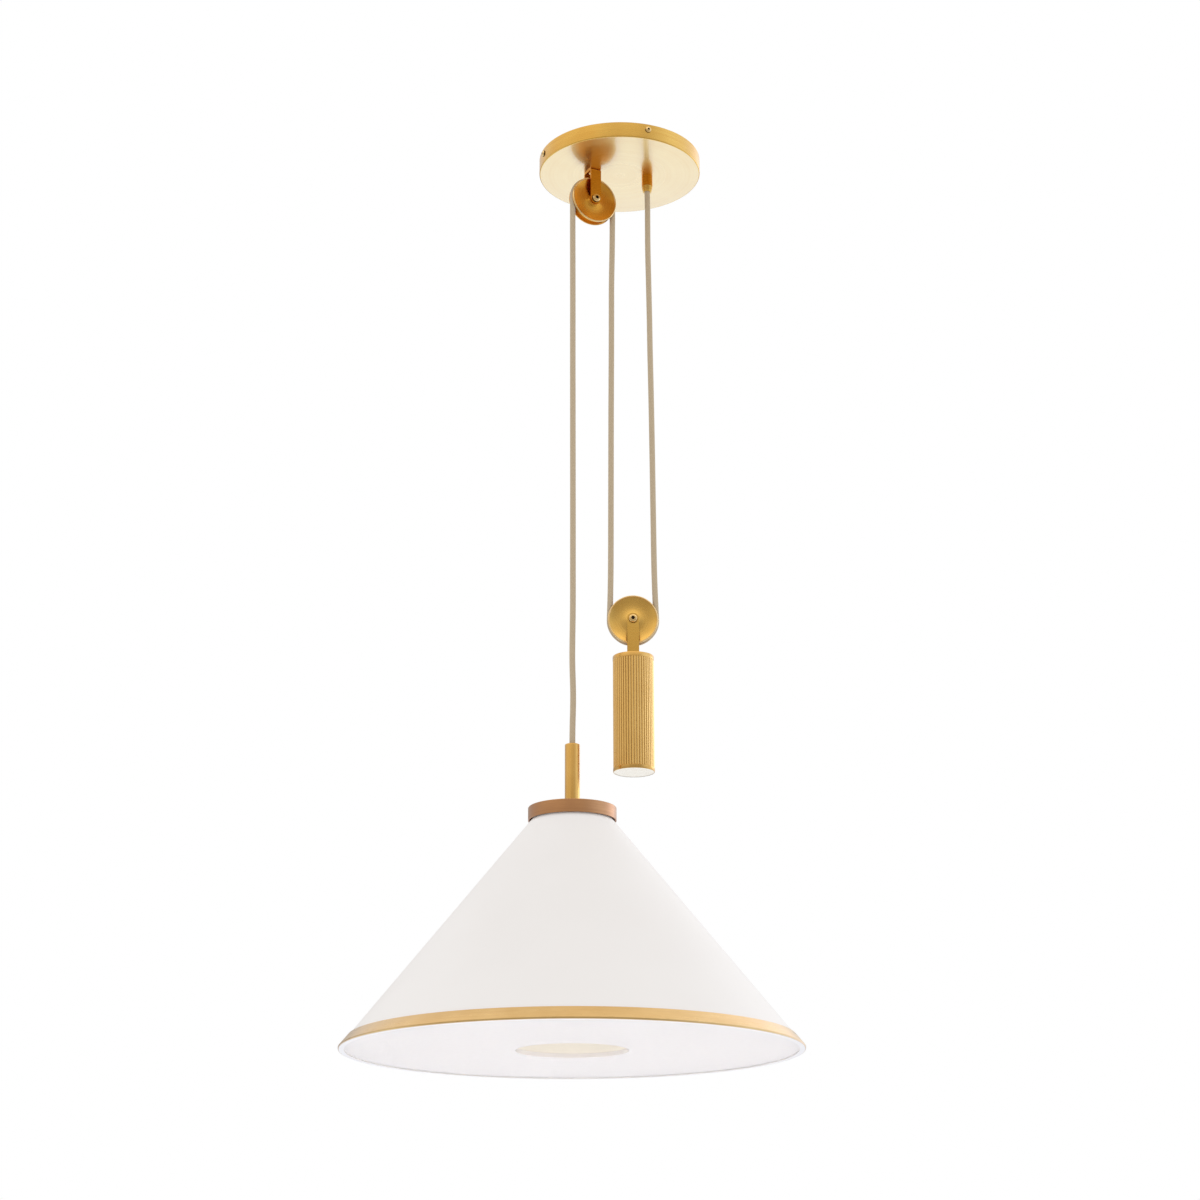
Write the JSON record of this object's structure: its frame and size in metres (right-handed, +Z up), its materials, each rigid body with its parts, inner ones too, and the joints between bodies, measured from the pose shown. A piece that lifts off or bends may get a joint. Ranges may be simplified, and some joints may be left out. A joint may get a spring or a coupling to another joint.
{
  "type": "rise and fall pendant",
  "caption": "Ceiling pendant whose conical shade rises and falls on a fabric cord over two pulleys, balanced by a fluted counterweight.",
  "frame": {"origin": "centre of the canopy's top, in the ceiling plane", "axes": "+Z up into the ceiling, +X to the right and +Y away from the viewer, who faces the lower pulley's flat side"},
  "size_m": [0.5079, 0.508, 1.093],
  "materials": {
    "satin_brass": "satin",
    "band_brass": "brushed",
    "polished_brass": "polished",
    "brass_hardware": "satin",
    "brushed_bronze": "brushed",
    "white_aluminium": "painted",
    "white_acrylic": "satin",
    "zinc_steel": "satin",
    "iron_core": "rough",
    "cord_cloth": "woven",
    "core_insulation": "smooth",
    "nylon": "matte",
    "phenolic": "satin"
  },
  "bodies": {
    "canopy": {"mounting_plate": "zinc_steel", "canopy_shell": "satin_brass", "canopy_side_screws": "brass_hardware", "terminal_block": "nylon", "terminal_screws": "brass_hardware", "block_screw": "zinc_steel", "earth_screw": "zinc_steel", "lead_wires": "core_insulation", "cord_grip_body": "satin_brass", "cord_grip_cap": "satin_brass", "cord_grip_locknut": "brass_hardware", "cord_in_grip": "cord_cloth", "upper_bracket": "satin_brass", "upper_bracket_screw": "brass_hardware", "upper_bracket_nut": "brass_hardware", "upper_axle_bolt": "brass_hardware", "upper_axle_nut": "brass_hardware", "upper_axle_spacers": "brass_hardware", "cord_upper_wrap": "cord_cloth", "cord_fixed_strand": "cord_cloth", "cord_middle_strand": "cord_cloth", "cord_lamp_strand": "cord_cloth"},
    "upper_wheel": {"upper_wheel": "satin_brass", "upper_wheel_bush": "nylon"},
    "cord_loop": {"cord_lower_loop": "cord_cloth"},
    "lower_wheel": {"lower_wheel": "satin_brass", "lower_wheel_bush": "nylon"},
    "counterweight": {"lower_bracket": "satin_brass", "lower_axle_bolt": "brass_hardware", "lower_axle_nut": "brass_hardware", "lower_axle_spacers": "brass_hardware", "weight_top_cap": "polished_brass", "weight_sleeve": "polished_brass", "weight_core": "iron_core", "weight_bottom_cap": "polished_brass", "weight_screw": "brass_hardware"},
    "lamp": {"stem": "satin_brass", "stem_bush": "brass_hardware", "stem_cord_collar": "zinc_steel", "cord_in_stem": "cord_cloth", "shade_cap": "brushed_bronze", "shade": "white_aluminium", "shade_nipple": "brass_hardware", "shade_washer": "zinc_steel", "shade_nut": "zinc_steel", "rim_band": "band_brass", "diffuser": "white_acrylic", "lampholder_cap": "phenolic", "lampholder_skirt": "phenolic", "screw_shell": "brass_hardware", "centre_contact": "brass_hardware"}
  },
  "joints": [
    {"name": "shade_slide", "type": "slide", "parent": "canopy", "child": "lamp", "axis": [0, 0, 1], "range_m": [-0.85, 0], "deforming": ["cord_lamp_strand"]},
    {"name": "counterweight_slide", "type": "slide", "parent": "canopy", "child": "cord_loop", "axis": [0, 0, 1], "range_m": [0, 0.425], "deforming": ["cord_fixed_strand", "cord_middle_strand"]},
    {"name": "upper_wheel_spin", "type": "hinge", "parent": "canopy", "child": "upper_wheel", "pos_m": [-0.0332, -0.0095, -0.0595], "axis": [0.4431, -0.8965, 0], "range_deg": [-5, 1800]},
    {"name": "lower_wheel_spin", "type": "hinge", "parent": "cord_loop", "child": "lower_wheel", "pos_m": [0.0125, 0.00251, -0.594], "axis": [0, -1, 0], "range_deg": [-900, 5]},
    {"name": "counterweight_swing", "type": "hinge", "parent": "cord_loop", "child": "counterweight", "pos_m": [0.0125, 0.00251, -0.594], "axis": [0, -1, 0], "range_deg": [-10, 10]}
  ],
  "couplings": [
    {"joint": "counterweight_slide", "follows": "shade_slide", "ratio": -0.5},
    {"joint": "upper_wheel_spin", "follows": "shade_slide", "rad_per_m": -36.9},
    {"joint": "lower_wheel_spin", "follows": "shade_slide", "rad_per_m": 18.45}
  ]
}
